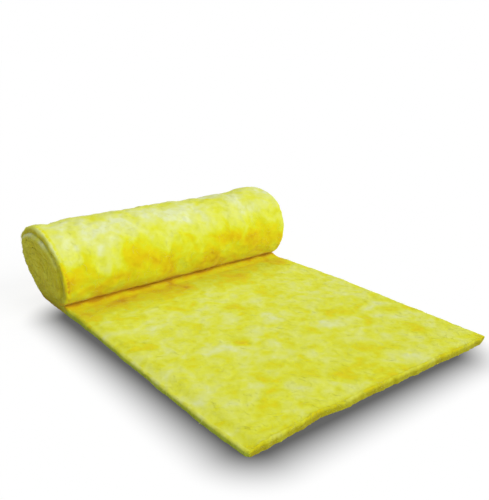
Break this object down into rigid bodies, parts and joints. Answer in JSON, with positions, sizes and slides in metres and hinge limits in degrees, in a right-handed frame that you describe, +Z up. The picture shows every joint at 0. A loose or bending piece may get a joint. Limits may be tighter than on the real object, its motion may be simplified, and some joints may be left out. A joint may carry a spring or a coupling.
{
  "type": "insulation roll",
  "caption": "Blanket of yellow glass wool, wound into a sagging roll that lies on the floor, with its free end run out flat.",
  "frame": {"origin": "on the floor under the middle of the roll, halfway across the blanket's width", "axes": "+X along the roll towards its right end, +Y away from the free end, +Z up"},
  "size_m": [1.2729, 1.6491, 0.372],
  "materials": {
    "glass_wool": "matt felt of fine yellow glass fibres"
  },
  "bodies": {
    "root": {"wool_blanket": "glass_wool"}
  },
  "joints": []
}
